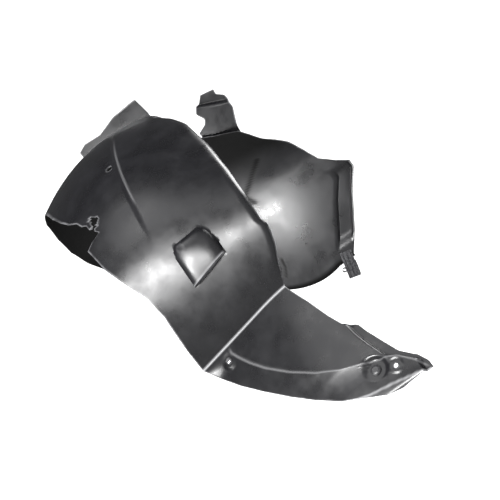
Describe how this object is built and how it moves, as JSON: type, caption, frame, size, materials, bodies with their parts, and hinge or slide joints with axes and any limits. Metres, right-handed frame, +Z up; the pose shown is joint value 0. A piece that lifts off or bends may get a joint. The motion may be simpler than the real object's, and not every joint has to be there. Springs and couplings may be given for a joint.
{
  "type": "wheel arch liner",
  "caption": "Thin moulded liner that wraps over a front wheel, with a bent tongue at the front, an air scoop, a torn inboard edge, push rivets and a folded clip at the rear foot.",
  "frame": {"origin": "middle of the screw hole in the roof's recessed seat, halfway through the sheet", "axes": "+X rearward along the arch, +Y inboard along the wheel's axle, +Z up. The wheel's centre is at X +0.149, Z -0.310."},
  "size_m": [0.912, 0.592, 0.649],
  "materials": {
    "liner_plastic": "satin to glossy black moulded polypropylene",
    "clip_steel": "dull phosphated spring steel",
    "rivet_plastic": "black nylon",
    "rivet_steel": "zinc-plated"
  },
  "bodies": {
    "root": {"liner": "liner_plastic", "sill_clip": "clip_steel", "tongue_rivet": "rivet_plastic", "edge_rivet": "rivet_steel"}
  },
  "joints": []
}
